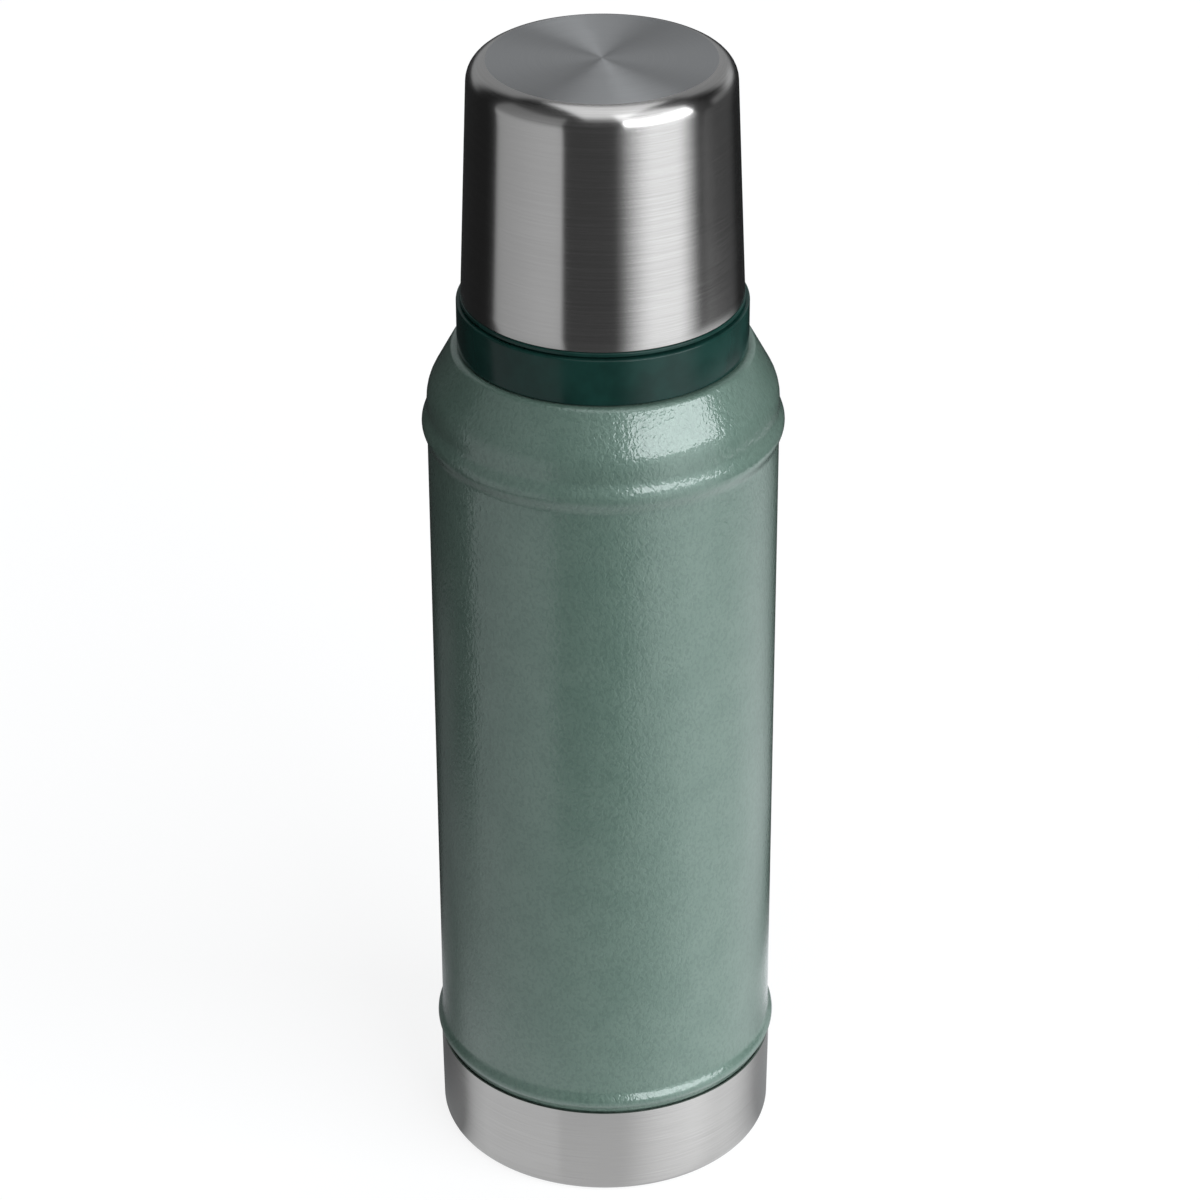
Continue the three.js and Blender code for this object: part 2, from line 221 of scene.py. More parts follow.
def turned(name, outline, facets=PLAIN, longest=8.0, bands=(), lifts=(), shape=None, sharp=32):
    """A closed solid of revolution. Its outline runs with the solid on the left, and may meet the axis.

    `lifts` raise the surface by a distance, and `shape` gives it a new radius. An edge of more than `sharp`
    degrees isn't smoothed.
    """
    same_point = 1e-5
    points = [np.array(p[:2], float) for p in outline]
    points = densified(points, longest, bands)
    points = [p for i, p in enumerate(points) if np.linalg.norm(p - points[i - 1]) > same_point]
    radii, heights = np.array(points).T
    angles = np.arange(facets) * 2 * math.pi / facets
    grid_r = np.repeat(radii[:, None], facets, 1)
    grid_z = np.repeat(heights[:, None], facets, 1)
    grid_a = np.repeat(angles[None, :], len(points), 0)
    change = sum((lift(grid_a, grid_r, grid_z) for lift in lifts), np.zeros_like(grid_r))
    grid_r = grid_r + change
    if shape:
        grid_r = shape(grid_a, grid_r, grid_z)
    vertices, rows = [], []
    for i, r in enumerate(radii):
        if r < ON_AXIS:
            rows.append([len(vertices)] * facets)
            vertices.append((0, 0, heights[i]))
            continue
        rows.append(list(range(len(vertices), len(vertices) + facets)))
        vertices += list(zip(grid_r[i] * np.cos(angles), grid_r[i] * np.sin(angles), grid_z[i]))
    faces = []
    for i in range(len(rows)):
        low, high = rows[i], rows[(i + 1) % len(rows)]
        if low[0] == low[1] and high[0] == high[1]:
            continue
        for k in range(facets):
            after = (k + 1) % facets
            ring = [low[k], low[after], high[after], high[k]]
            faces.append([v for j, v in enumerate(ring) if v != ring[j - 1]])
    mesh = bpy.data.meshes.new(name)
    mesh.from_pydata((np.array(vertices, float) * MM).tolist(), [], faces)
    mesh.update()
    mesh.polygons.foreach_set("use_smooth", [True] * len(mesh.polygons))
    mesh.set_sharp_from_angle(angle=math.radians(sharp))
    made = bpy.data.objects.new(name, mesh)
    bpy.context.scene.collection.objects.link(made)
    return made


# Material nodes

class Nodes:
    """A short way to build a node tree: each call adds nodes, wires what it is given and gives its output."""

    def __init__(self, tree, coordinates):
        self.tree = tree
        self.place = self.add("ShaderNodeTexCoord").outputs[coordinates]

    def add(self, kind, settings=None, **inputs):
        """A new node. An input is given by its name, or as i0, i1, ... by its number."""
        node = self.tree.nodes.new(kind)
        for key, value in (settings or {}).items():
            setattr(node, key, value)
        for key, value in inputs.items():
            self.put(node, key.replace("_", " "), value)
        return node

    def put(self, node, key, value):
        """Wires an output to an input, or sets the input's own value."""
        socket = node.inputs[int(key[1:])] if key[0] == "i" and key[1:].isdigit() else node.inputs[key]
        if isinstance(value, bpy.types.NodeSocket):
            self.tree.links.new(value, socket)
        else:
            socket.default_value = value

    def math(self, operation, a, b=0.0, clamp=False):
        node = self.add("ShaderNodeMath", {"operation": operation, "use_clamp": clamp}, i0=a, i1=b)
        return node.outputs[0]

    def stretch(self, scale):
        """The coordinates times a scale on each axis."""
        return self.add("ShaderNodeMapping", None, Vector=self.place, Scale=scale).outputs[0]

    def noise(self, vector, scale, detail=2.0, roughness=0.5, distortion=0.0):
        node = self.add(
            "ShaderNodeTexNoise", None,
            Vector=vector, Scale=scale, Detail=detail, Roughness=roughness, Distortion=distortion,
        )
        return node.outputs["Fac"]

    def ramp(self, value, low, high, out_low=0.0, out_high=1.0, smooth=True):
        settings = {"interpolation_type": "SMOOTHSTEP" if smooth else "LINEAR"}
        node = self.add("ShaderNodeMapRange", settings, Value=value, i1=low, i2=high, i3=out_low, i4=out_high)
        return node.outputs[0]

    def band(self, value, low, high, soft_low, soft_high):
        """1 between low and high, with soft edges inside."""
        above = self.ramp(value, low, low + soft_low)
        below = self.ramp(value, high, high - soft_high)
        return self.math("MULTIPLY", above, below)

    def azimuth(self, x, y):
        """Degrees round from the front, positive to the right."""
        forward = self.math("MULTIPLY", y, -1.0)
        return self.math("MULTIPLY", self.math("ARCTAN2", x, forward), 180 / math.pi)

    def mix(self, factor, a, b):
        node = self.add("ShaderNodeMix", {"data_type": "RGBA"}, i0=factor, i6=a, i7=b)
        return node.outputs[2]

    def bump(self, height, strength, distance):
        """A normal from a height, with the distance in millimetres."""
        node = self.add("ShaderNodeBump", None, Height=height, Strength=strength, Distance=distance * MM)
        return node.outputs[0]


class Surface(Nodes):
    """The nodes of a new material."""

    def __init__(self, name):
        self.material = bpy.data.materials.new(name)
        self.material.use_nodes = True
        super().__init__(self.material.node_tree, "Object")
        self.shader = self.tree.nodes["Principled BSDF"]

    def set(self, **values):
        """Fills the shader's inputs and gives the finished material."""
        for key, value in values.items():
            self.put(self.shader, key.replace("_", " "), value)
        return self.material


def colour(r, g, b):
    """A linear colour from 0 to 255 sRGB values."""
    def linear(c):
        c /= 255
        return c / 12.92 if c <= 0.04045 else ((c + 0.055) / 1.055) ** 2.4

    return (linear(r), linear(g), linear(b), 1.0)


# Materials

def hammertone():
    """Hammered enamel: a clear gloss coat over fine worm-like ripples in green paint with metal flakes."""
    n = Surface("hammertone_paint")
    ripple, ripple_height = 0.9 * MM, 1.2 * MM
    worms = n.noise(n.stretch((1 / ripple, 1 / ripple, 1 / ripple_height)), 1.0, 1.0, 0.45, 0.6)
    swell = n.noise(n.place, 1 / (9 * MM), 2.0)
    flake = n.noise(n.place, 1 / (0.2 * MM), 1.0)
    base = n.mix(n.ramp(swell, 0.3, 0.7), colour(97, 122, 110), colour(103, 127, 115))
    # Painted shade: the ripples' hollows, where the bump height is lowest, are painted darker green.
    base = n.mix(n.ramp(worms, 0.3, 0.6, 0.30, 0.0), base, colour(70, 94, 84))
    base = n.mix(n.ramp(flake, 0.55, 0.75, 0.0, 0.12), base, colour(166, 184, 172))
    return n.set(
        Base_Color=base, Metallic=0.2, Roughness=n.ramp(flake, 0.3, 0.7, 0.42, 0.5),
        Normal=n.bump(worms, 1.0, 0.13),
        Coat_Weight=1.0, Coat_Roughness=0.03, Coat_IOR=1.5, Coat_Normal=n.bump(worms, 1.0, 0.1),
    )


def steel(name, roughness, brushed, tone=190, warm=3, spun=False):
    """Brushed stainless steel in a grey of one tone. `brushed` says how far a highlight is drawn out.

    The brush lines run round the axis. On a spun face, which is flat, they are rings.
    """
    n = Surface(name)
    if spun:
        length, width = 24 * MM, 0.11 * MM
        x, y, _ = n.add("ShaderNodeSeparateXYZ", None, Vector=n.place).outputs
        square = n.math("ADD", n.math("POWER", x, 2.0), n.math("POWER", y, 2.0))
        rings = n.math("MULTIPLY", n.math("SQRT", square), 1 / width)
        turn_x = n.math("MULTIPLY", x, 1 / length)
        turn_y = n.math("MULTIPLY", y, 1 / length)
        line_place = n.add("ShaderNodeCombineXYZ", None, X=turn_x, Y=turn_y, Z=rings).outputs[0]
    else:
        length, width = 22 * MM, 0.2 * MM
        line_place = n.stretch((1 / length, 1 / length, 1 / width))
    lines = n.noise(line_place, 1.0, 5.0, 0.65)
    smudge = n.noise(n.place, 1 / (14 * MM), 3.0)
    dark, light = (colour(t + warm, t, t - warm) for t in (tone - 6, tone + 4))
    grey = n.mix(n.ramp(lines, 0.3, 0.7), dark, light)
    rough = n.ramp(lines, 0.3, 0.7, roughness - 0.025, roughness + 0.025)
    rough = n.math("ADD", rough, n.ramp(smudge, 0.3, 0.7, 0, 0.02))
    tangent = n.add("ShaderNodeTangent", {"direction_type": "RADIAL", "axis": "Z"}).outputs[0]
    return n.set(
        Base_Color=grey, Metallic=1.0, Roughness=rough,
        Anisotropic=n.ramp(lines, 0.3, 0.7, brushed - 0.03, brushed + 0.02),
        Anisotropic_Rotation=0.25, Tangent=tangent, Normal=n.bump(lines, 0.12, 0.01),
    )


def plastic(name, rgb, roughness, grain=0.25):
    """Moulded plastic with a faint mould texture, its grain in millimetres, and slow changes of gloss."""
    n = Surface(name)
    slow = n.noise(n.place, 1 / (9 * MM), 3.0)
    fine = n.noise(n.place, 1 / (grain * MM), 2.0)
    darker = tuple(c * 0.82 for c in rgb)
    base = n.mix(n.ramp(slow, 0.3, 0.7), colour(*darker), colour(*rgb))
    rough = n.ramp(slow, 0.3, 0.7, roughness - 0.05, roughness + 0.04)
    rough = n.math("ADD", rough, n.ramp(fine, 0.3, 0.7, 0, 0.05))
    return n.set(Base_Color=base, Roughness=rough, Normal=n.bump(fine, 0.10, 0.02), Specular_IOR_Level=0.22)


def silicone():
    """Translucent milky rubber with a dull skin."""
    n = Surface("silicone")
    slow = n.noise(n.place, 1 / (5 * MM), 3.0)
    fine = n.noise(n.place, 1 / (0.3 * MM), 2.0)
    base = n.mix(n.ramp(slow, 0.3, 0.7), colour(205, 205, 198), colour(222, 221, 214))
    return n.set(
        Base_Color=base, Roughness=n.ramp(fine, 0.3, 0.7, 0.5, 0.66), Subsurface_Weight=0.15,
        Subsurface_Scale=1.5 * MM, Normal=n.bump(fine, 0.15, 0.03),
    )


def grainy(name, dark, light, size, roughness, metallic=0.0, depth=0.08):
    """Foam, fibre, sintered pellet, braze or foil: blotches and pits of one size, in millimetres."""
    n = Surface(name)
    coarse = n.noise(n.place, 1 / (size * MM), 4.0, 0.6)
    fine = n.noise(n.place, 1 / (size * 0.25 * MM), 2.0)
    base = n.mix(n.ramp(coarse, 0.3, 0.7), colour(*dark), colour(*light))
    rough = n.ramp(fine, 0.3, 0.7, roughness - 0.06, roughness + 0.06)
    height = n.math("ADD", coarse, n.math("MULTIPLY", fine, 0.4))
    return n.set(Base_Color=base, Metallic=metallic, Roughness=rough, Normal=n.bump(height, 0.5, depth))


MATERIALS = {
    "hammertone_paint": hammertone(),
    "brushed_steel": steel("brushed_steel", 0.18, 0.93),
    "spun_steel": steel("spun_steel", 0.30, 0.95, tone=180, warm=0, spun=True),
    "vessel_steel": steel("vessel_steel", 0.24, 0.6, tone=196),
    "green_plastic": plastic("green_plastic", (24, 58, 52), roughness=0.16),
    "dark_plastic": plastic("dark_plastic", (40, 48, 48), roughness=0.45, grain=0.4),
    "silicone": silicone(),
    "foam": grainy("foam", (205, 200, 186), (232, 228, 216), 0.6, 0.92, depth=0.2),
    "fibre": grainy("fibre", (128, 108, 80), (160, 140, 108), 0.8, 0.9, depth=0.15),
    "copper_foil": grainy("copper_foil", (184, 112, 76), (214, 144, 104), 2.5, 0.28, 1.0, 0.12),
    "braze": grainy("braze", (160, 132, 74), (196, 168, 100), 1.2, 0.36, 1.0, 0.12),
    "getter": grainy("getter", (66, 68, 72), (98, 100, 104), 0.3, 0.7, 0.4, 0.06),
}


def finish(made, body, slot, node):
    """Puts a piece on its body, gives it the slot's material if it has none yet, and hides the CAD node it
    stands for.
    """
    if not made.data.materials:
        made.data.materials.append(MATERIALS[slot])
    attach(made, body)
    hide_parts(node)


# Bottle

def outer_shell():
    """The painted shell, from its hem tucked into the base to the top of its neck."""
    tuck_r = BASE_R - STEEL - 0.75
    hem_z = LOWER_BEAD["z"] - LOWER_BEAD["half"]
    ledge_r = BODY_R - (LEDGE_Z - SHOULDER_Z) * math.tan(SHOULDER_SLOPE)
    outline = sheet(
        [
            (tuck_r, SHELL_LOW),
            (tuck_r, hem_z - 0.15, 0.3),
            (BODY_R - 0.25, hem_z - 0.1, 0.25),
            *bead(BODY_R, LOWER_BEAD)[1:],
            *bead(BODY_R, UPPER_BEAD),
            (BODY_R, SHOULDER_Z, 12.18),
            (ledge_r, LEDGE_Z, 1.7),
            (SHELL_NECK_R, LEDGE_Z, 1.2),
            (SHELL_NECK_R, SHELL_NECK_TOP),
        ],
        STEEL,
    )
    finish(turned("painted_shell", outline, FINE, longest=5), "bottle", "hammertone_paint", "outer_shell")


def base_cup():
    """The bare steel base. Its foot ring and raised middle are spun, its wall brushed."""
    recess_r, recess_h = 30.0, 1.5
    outline = sheet(
        [
            (0, recess_h),
            (recess_r, recess_h, 1.2),
            (recess_r + 1.6, 0, 1.2),
            (FOOT_R, 0, 2.64),
            (BASE_R - 0.02, BASE_TOP),
        ],
        STEEL, lip_steps=1,
    )
    made = turned("steel_base", outline, FINE, longest=4)
    made.data.materials.append(MATERIALS["brushed_steel"])
    made.data.materials.append(MATERIALS["spun_steel"])
    foot_top = (recess_h + 0.4) * MM
    for face in made.data.polygons:
        face.material_index = int(abs(face.normal.z) > 0.9 and face.center.z < foot_top)
    finish(made, "bottle", "brushed_steel", "base_cup")


def closure():
    """The closure of the vacuum space, with the braze bead in its hole and the fibre pad under it."""
    pad_bore_r, hole_r = 7, 1.5
    pad = [(pad_bore_r, PAD_LOW), (PAD_R, PAD_LOW, 0.5), (PAD_R, PAD_TOP, 0.5), (pad_bore_r, PAD_TOP)]
    finish(turned("fibre_pad", rounded(pad)), "bottle", "fibre", "base_pad")
    rim_r = CLOSURE_R - STEEL
    disc_z = CLOSURE_TOP - STEEL
    disc = sheet([(hole_r, disc_z), (rim_r, disc_z, 1.5), (rim_r, CLOSURE_LOW)], STEEL)
    finish(turned("vacuum_closure", disc), "bottle", "vessel_steel", "outer_bottom")
    pip = [(0, SEAL_LOW), (2.4, SEAL_LOW + 0.4, 1.5), (SEAL_R, SEAL_TOP), (0, SEAL_TOP)]
    finish(turned("braze_bead", rounded(pip), 48), "bottle", "braze", "vacuum_seal")


def vessel():
    """The inner vessel with its floor, its threaded neck and the copper foil round it."""
    shoulder_low, shoulder_high = 213, 222
    wall = sheet(
        [
            (VESSEL_R, VESSEL_LOW),
            (VESSEL_R, shoulder_low, 12),
            (VESSEL_THROAT_R, shoulder_high, 3),
            (VESSEL_THROAT_R, VESSEL_TOP),
        ],
        VESSEL_STEEL,
    )
    finish(turned("vessel_wall", wall), "bottle", "vessel_steel", "inner_vessel")
    floor = sheet([(0, FLOOR_Z), (VESSEL_R, FLOOR_Z, 7), (VESSEL_R, FLOOR_TOP)], VESSEL_STEEL)
    finish(turned("vessel_floor", floor), "bottle", "vessel_steel", "inner_bottom")
    neck_r = 25.4
    bore_r = neck_r - VESSEL_STEEL
    seat_z = 235.5
    lip_z = RIM_Z - VESSEL_STEEL
    neck = sheet(
        [
            (VESSEL_THROAT_R, NECK_LOW),
            (VESSEL_THROAT_R, seat_z, 0.6),
            (neck_r, seat_z, 1.2),
            (neck_r, lip_z, 0.6),
            (LIP_R, lip_z),
        ],
        VESSEL_STEEL,
    )
    made = turned("vessel_neck", neck, **threaded(bore_r, RIM_Z - 19.4, 0.9, 1.0, 0.5, side=-1))
    finish(made, "bottle", "vessel_steel", "inner_neck")
    foil_in_r = FOIL_R - 0.3
    foil = [(foil_in_r, FOIL_LOW), (FOIL_R, FOIL_LOW), (FOIL_R, FOIL_TOP), (foil_in_r, FOIL_TOP)]
    finish(turned("copper_wrap", foil), "bottle", "copper_foil", "radiation_foil")


def collar():
    """The green plastic collar, with the cup's thread on the ring above its band."""
    bore_r, ring_r = SHELL_NECK_R + 0.3, 29.4
    band_top = 240.6
    lead_in = 1.4
    outline = rounded([
        (bore_r, COLLAR_LOW + lead_in),
        (bore_r + lead_in, COLLAR_LOW),
        (COLLAR_R, COLLAR_LOW, 0.25),
        (COLLAR_R, band_top, 0.5),
        (ring_r, band_top, 0.3),
        (ring_r, RING_TOP, 0.8),
        (bore_r, RING_TOP, 0.4),
    ])
    made = turned("collar", outline, FINE, **threaded(ring_r, band_top + 3.4, 1.35, 1.4, 0.4))
    finish(made, "bottle", "green_plastic", "neck_collar")


# Cup

def cup():
    """The steel cup, spun on top and brushed on its wall, with its threaded plastic lining and its seal."""
    outline = sheet([(CUP_MOUTH_R, CUP_SHELL_LOW), (CUP_CROWN_R, CUP_TOP, CUP_ROUNDING), (0, CUP_TOP)], STEEL)
    made = turned("cup_steel", outline, FINE, longest=3)
    made.data.materials.append(MATERIALS["brushed_steel"])
    made.data.materials.append(MATERIALS["spun_steel"])
    crown = (CUP_TOP - 0.2) * MM
    for face in made.data.polygons:
        face.material_index = int(face.normal.z > 0.98 and face.center.z > crown)
    finish(made, "cup", "brushed_steel", "cup_shell")

    inset = STEEL + 0.3  # the lining's outside from the steel's outside
    wall = 1.55
    pocket_r, pocket_top = 33.0, CUP_LOW + 2.4
    bore_r, bore_top = 31.3, CUP_LOW + 18
    flange_top = CUP_LOW + 1.1
    outline = rounded([
        (pocket_r, CUP_LOW, 0.2),
        (FLANGE_R, CUP_LOW, 0.35),
        (FLANGE_R, flange_top, 0.35),
        (CUP_MOUTH_R - inset, flange_top),
        (CUP_CROWN_R - inset, LINER_TOP, CUP_ROUNDING - inset),
        (0, LINER_TOP),
        (0, LINER_TOP - wall),
        (CUP_CROWN_R - inset - wall, LINER_TOP - wall, CUP_ROUNDING - inset - wall),
        (bore_r, bore_top),
        (bore_r, pocket_top, 0.3),
        (pocket_r, pocket_top, 0.3),
    ])
    made = turned("cup_lining", outline, FINE, **threaded(bore_r, CUP_LOW + 5.5, 1.15, 1.2, 0.4, side=-1))
    finish(made, "cup", "green_plastic", "cup_liner")
    seal_in_r = CUP_SEAL_R - 1.3
    seal = [
        (seal_in_r, CUP_SEAL_LOW, 0.5),
        (CUP_SEAL_R, CUP_SEAL_LOW, 0.5),
        (CUP_SEAL_R, CUP_SEAL_TOP, 0.5),
        (seal_in_r, CUP_SEAL_TOP, 0.5),
    ]
    finish(turned("cup_ring_seal", rounded(seal)), "cup_ring", "silicone", "cup_seal")


# Stopper

def stopper():
    """The stopper: threaded plug, fluted grip, foam core, foot and gasket."""
    bore_r, plug_r = 20.0, 23.2
    flange_low = RIM_Z + 1
    outline = rounded([
        (bore_r, PLUG_LOW, 0.3),
        (plug_r, PLUG_LOW, 0.5),
        (plug_r, flange_low, 0.4),
        (PLUG_FLANGE_R, flange_low, 0.5),
        (PLUG_FLANGE_R, PLUG_TOP, 0.6),
        (bore_r, PLUG_TOP, 0.3),
    ])
    thread_low = RIM_Z - 16.9
    floor_r, half_width, channel_top = 21.6, 4.5, flange_low - 1.2

    def channels(angle, r, z):
        """Cuts two pouring channels with flat floors down the plug's sides."""
        across = np.abs(r * np.sin(angle))
        floor = floor_r / np.maximum(np.abs(np.cos(angle)), 0.5)
        inside = (across < half_width) & (r > floor_r) & (z < channel_top)
        return np.where(inside, np.minimum(r, floor), r)

    made = turned(
        "stopper_plug", outline, FINE, bands=[(PLUG_LOW, flange_low, plug_r)],
        lifts=[thread(plug_r, thread_low, 1.25, 1.3)], shape=channels,
    )
    finish(made, "stopper", "dark_plastic", "stopper_body")

    hollow_top = GRIP_TOP - 3.5
    grip = rounded([
        (bore_r, GRIP_LOW, 0.3),
        (GRIP_R, GRIP_LOW, 1.0),
        (GRIP_R, GRIP_TOP, 2.0),
        (0, GRIP_TOP),
        (0, hollow_top),
        (bore_r, hollow_top, 0.5),
    ])

    flute_count, flute_depth = 12, 1.4

    def flutes(angle, r, z):
        """Finger flutes round the grip, fading out on its top."""
        share = np.clip((r - (GRIP_R - 3)) / 2, 0, 1)
        return r - flute_depth / 2 * share * (1 - np.cos(flute_count * angle))

    made = turned("stopper_grip", grip, FINE, longest=1.5, shape=flutes)
    finish(made, "stopper", "green_plastic", "stopper_cap")
    core = [(0, FOAM_LOW), (FOAM_R, FOAM_LOW, 0.6), (FOAM_R, FOAM_TOP, 0.6), (0, FOAM_TOP)]
    finish(turned("foam_core", rounded(core)), "stopper", "foam", "stopper_foam")

    spool_r, spool_low = 18.2, PLUG_LOW - 3.1
    spigot_r = bore_r - 0.3
    plug = rounded([
        (0, SPOOL_LOW),
        (SPOOL_R, SPOOL_LOW, 0.8),
        (SPOOL_R, spool_low, 0.4),
        (spool_r, spool_low),
        (spool_r, PLUG_LOW),
        (spigot_r, PLUG_LOW),
        (spigot_r, SPOOL_TOP, 0.5),
        (0, SPOOL_TOP),
    ])
    finish(turned("stopper_foot", plug), "stopper", "dark_plastic", "stopper_base")
    gasket_in_r = spool_r + 0.3
    ring = rounded([
        (gasket_in_r, GASKET_LOW, 0.4),
        (GASKET_R, GASKET_LOW, 1.1),
        (GASKET_R, GASKET_TOP, 1.1),
        (gasket_in_r, GASKET_TOP, 0.4),
    ])
    finish(turned("stopper_ring_seal", ring), "stopper_ring", "silicone", "stopper_gasket")


def getter():
    """The gas getter and its clip keep their CAD meshes and get materials."""
    for node, slot in (("getter_pellet", "getter"), ("getter_clip", "vessel_steel")):
        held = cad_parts[node]
        held.data.materials.clear()
        held.data.materials.append(MATERIALS[slot])


# Setting

def camera():
    """Looks 29.9 degrees down at the axis from about a metre away."""
    pitch = math.radians(29.918)
    distance, aim_z = 1.03745, 0.15495
    sideways = -0.00098
    roll = math.radians(-0.23)
    data = bpy.data.cameras.new("camera")
    data.lens = 122.43
    data.sensor_width = 36
    made = bpy.data.objects.new("camera", data)
    made.location = (sideways, -distance * math.cos(pitch), aim_z + distance * math.sin(pitch))
    made.rotation_mode = "XYZ"
    look = Vector((0, math.cos(pitch), -math.sin(pitch))).to_track_quat("-Z", "Y")
    made.rotation_euler = look.to_euler()
    made.rotation_euler.rotate_axis("Z", roll)
    bpy.context.scene.collection.objects.link(made)
    bpy.context.scene.camera = made


def floor():
    """A plain pale floor that takes the flask's soft shadow, and that reflections don't see."""
    mesh = bpy.data.meshes.new("floor")
    half = 6.0
    corners = [(-half, -half, 0), (half, -half, 0), (half, half, 0), (-half, half, 0)]
    mesh.from_pydata(corners, [], [(0, 1, 2, 3)])
    made = bpy.data.objects.new("floor", mesh)
    n = Surface("floor")
    n.set(
        Base_Color=colour(130, 130, 130), Roughness=0.9, Specular_IOR_Level=0.1,
        Emission_Color=(1, 1, 1, 1), Emission_Strength=0.835,
    )
    mesh.materials.append(n.material)
    bpy.context.scene.collection.objects.link(made)
    made.visible_glossy = False
    made.visible_diffuse = False
    made.visible_shadow = False


def card():
    """A glowing card round the foot in place of a lit pale table top, which only reflections and bounced
    light see.

    Azimuths are in degrees from the front, positive to the right, and distances are from the flask's axis.
    """
    radius = 500 * MM
    steps = 96
    angles = [2 * math.pi * k / steps for k in range(steps)]
    ring = [(radius * math.cos(t), radius * math.sin(t), -0.3 * MM) for t in angles]
    mesh = bpy.data.meshes.new("card")
    mesh.from_pydata(ring, [], [list(range(steps))])
    made = bpy.data.objects.new("card", mesh)
    n = Surface("card")
    x, y, _ = n.add("ShaderNodeSeparateXYZ", None, Vector=n.place).outputs
    azimuth = n.azimuth(x, y)
    distance = n.add("ShaderNodeVectorMath", {"operation": "LENGTH"}, i0=n.place).outputs["Value"]

    # It reaches further on the right. Its sides swing back with distance, so they mirror as upright bands.
    right = n.band(azimuth, 15, 165, 45, 20)
    left = n.ramp(azimuth, -70, -110)
    far_edge = n.math("ADD", 215 * MM, n.math("MULTIPLY", right, 235 * MM))
    near = n.ramp(n.math("SUBTRACT", distance, far_edge), 45 * MM, -45 * MM)
    spread = n.math(
        "ADD",
        n.ramp(distance, 45 * MM, 82 * MM, 0, 33, smooth=False),
        n.ramp(distance, 82 * MM, 175 * MM, 0, 26, smooth=False),
    )
    right_edge = n.math("ADD", 95.0, spread)
    left_edge = n.math("SUBTRACT", -75.0, spread)
    front = n.math("MULTIPLY", near, n.ramp(azimuth, right_edge, n.math("SUBTRACT", right_edge, 50.0)))
    front = n.math("MULTIPLY", front, n.ramp(azimuth, left_edge, n.math("ADD", left_edge, 22.0)))

    # Behind the flask there is a short stretch of it, and a long dim one on the left. All round the foot it
    # is faintly there.
    behind = n.ramp(n.math("ABSOLUTE", azimuth), 100, 130)
    back = n.math("MULTIPLY", n.ramp(distance, 110 * MM, 85 * MM), n.math("MULTIPLY", behind, 0.8))
    rear_left = n.band(azimuth, -143, -106, 12, 8)
    rear_left = n.math("MULTIPLY", rear_left, n.ramp(distance, 340 * MM, 290 * MM, 0.0, 0.37))
    foot = n.ramp(distance, 125 * MM, 95 * MM, 0.0, 0.27)
    cover = n.math("MULTIPLY", n.math("ADD", front, back, clamp=True), 0.78)
    cover = n.math("MAXIMUM", n.math("MAXIMUM", cover, rear_left), foot)

    # Painted light and shade: the glow stands in for light falling on a table, brighter on the right and
    # dimmer on the left, and away from the right it fades with distance.
    glow = n.math("SUBTRACT", n.math("MULTIPLY", right, 0.42), n.math("MULTIPLY", left, 0.45))
    fading = n.math("MAXIMUM", right, n.ramp(distance, 75 * MM, 135 * MM, 1.0, 0.65))
    glow = n.math("MULTIPLY", n.math("ADD", 0.88, glow), fading)
    light = n.add("ShaderNodeEmission", None, Color=(0.965, 1.0, 1.03, 1.0), Strength=glow).outputs[0]
    clear = n.add("ShaderNodeBsdfTransparent").outputs[0]
    both = n.add("ShaderNodeMixShader", None, i0=cover, i1=clear, i2=light).outputs[0]
    n.tree.links.new(both, n.tree.nodes["Material Output"].inputs["Surface"])
    mesh.materials.append(n.material)
    bpy.context.scene.collection.objects.link(made)
    made.visible_camera = False


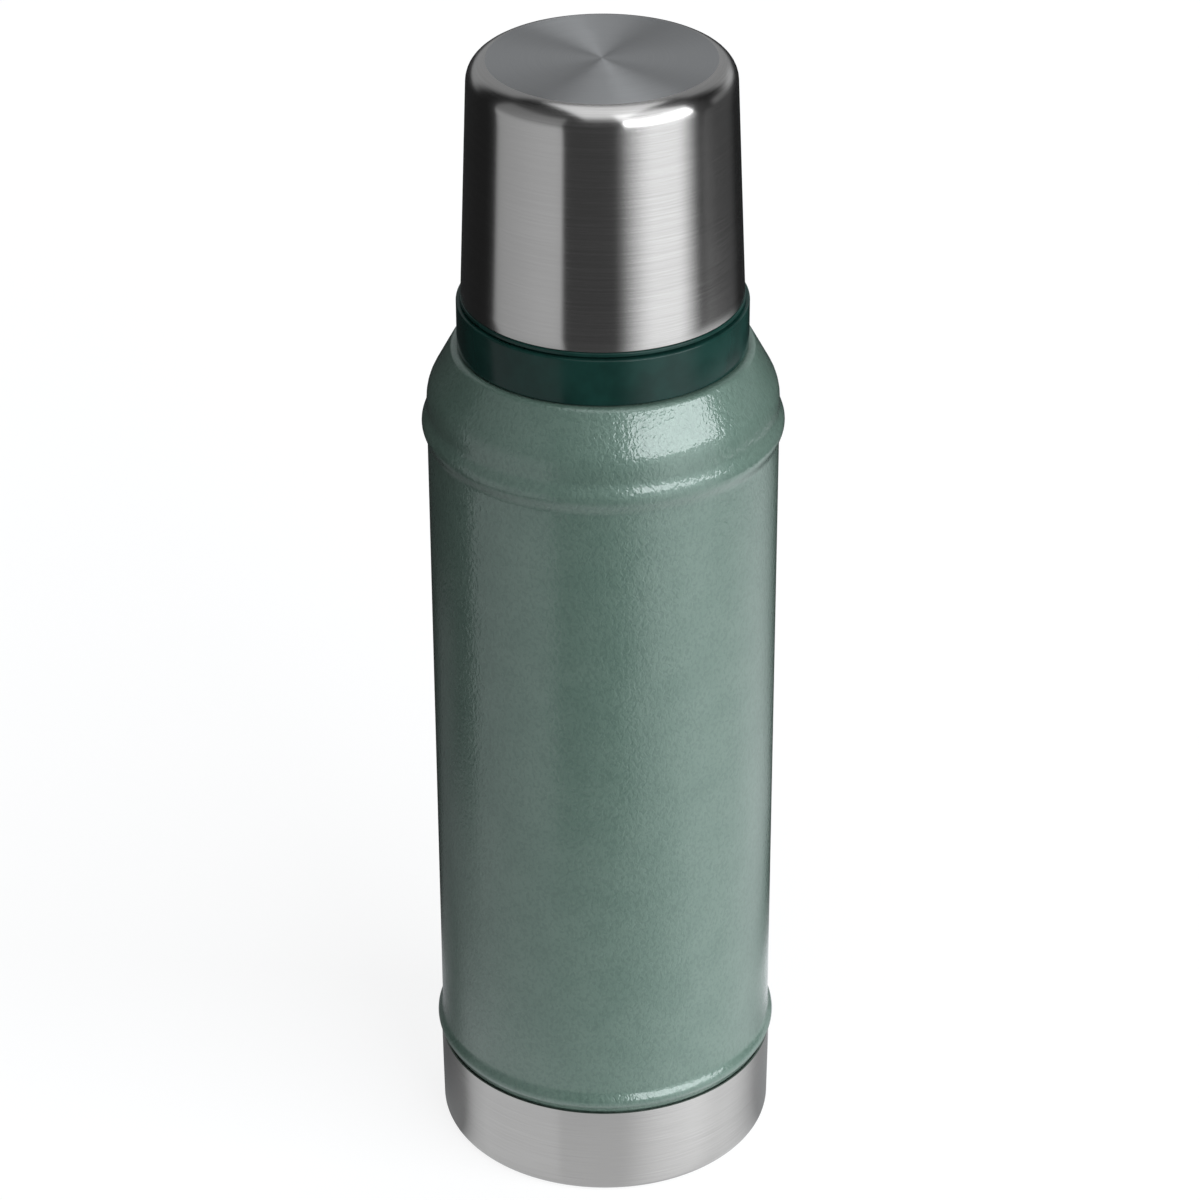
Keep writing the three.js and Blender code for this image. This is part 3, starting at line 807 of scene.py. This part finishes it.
def studio():
    """A round studio of soft panels, most of them a band of azimuth and a band of elevation, in degrees.

    The camera sees a white backdrop instead of it.
    """
    world = bpy.data.worlds.new("studio")
    bpy.context.scene.world = world
    world.use_nodes = True
    tree = world.node_tree
    tree.nodes.clear()
    n = Nodes(tree, "Generated")
    x, y, z = n.add("ShaderNodeSeparateXYZ", None, Vector=n.place).outputs
    azimuth = n.azimuth(x, y)
    elevation = n.math("MULTIPLY", n.math("ARCSINE", z), 180 / math.pi)
    from_back = n.math("SUBTRACT", 180.0, n.math("ABSOLUTE", azimuth))

    # Where a ray meets a ceiling one unit up: to the right, and back
    overhead = n.math("MAXIMUM", z, 0.05)
    across = n.math("DIVIDE", x, overhead)
    along = n.math("DIVIDE", y, overhead)

    def panel(power, *bands):
        """Light of one power inside all its bands."""
        level = power
        for inside in bands:
            level = n.math("MULTIPLY", level, inside)
        return level

    panels = [
        # the bright soft box, high on the right
        panel(6.5, n.band(azimuth, 17, 82, 3, 3), n.band(elevation, 10, 36, 2, 6)),
        # a strip of ceiling from the front to behind the flask
        panel(
            1.15, n.band(across, -0.34, 0.40, 0.08, 0.08), n.band(along, -1.3, 0.65, 0.9, 0.12),
            n.ramp(z, 0.3, 0.5),
        ),
        # a softer light above the soft box
        panel(1.1, n.band(azimuth, 12, 88, 6, 6), n.band(elevation, 34, 74, 4, 12)),
        # the pale wall under the soft box
        panel(1.27, n.band(azimuth, 8, 88, 36, 26), n.band(elevation, -70, 10, 4, 1)),
        # the dim wall on the left, dimmer still above the horizon
        panel(
            0.54, n.band(azimuth, -98, -31, 2, 3), n.band(elevation, -42, 44, 2, 8),
            n.ramp(azimuth, -99, -40, 0.82, 1.12), n.ramp(elevation, -8, 6, 1, 0.42),
        ),
        # faint light past the right wall, low and high
        panel(0.07, n.band(azimuth, 88, 146, 8, 20), n.band(elevation, -60, 0, 4, 4)),
        panel(0.25, n.band(azimuth, 98, 158, 10, 14), n.band(elevation, -4, 20, 8, 8)),
        # faint light all over the front half
        panel(0.05, n.band(azimuth, -110, 110, 20, 20)),
        # a grey sheet behind
        panel(0.36, n.ramp(from_back, 60, 40), n.band(elevation, 0, 56, 6, 8)),
    ]
    level = 0.02
    for light in panels:
        level = n.math("ADD", level, light)
    seen = n.add("ShaderNodeLightPath").outputs["Is Camera Ray"]
    cool_white = (0.965, 1.0, 1.035, 1)
    studio_light = n.add("ShaderNodeBackground", None, Color=cool_white, Strength=level).outputs[0]
    backdrop = n.add("ShaderNodeBackground", None, Color=(1, 1, 1, 1), Strength=1.0).outputs[0]
    both = n.add("ShaderNodeMixShader", None, i0=seen, i1=studio_light, i2=backdrop).outputs[0]
    out = n.add("ShaderNodeOutputWorld")
    tree.links.new(both, out.inputs["Surface"])


outer_shell()
base_cup()
closure()
vessel()
getter()
collar()
cup()
stopper()
camera()
floor()
card()
studio()

bpy.context.scene.view_settings.view_transform = "Standard"
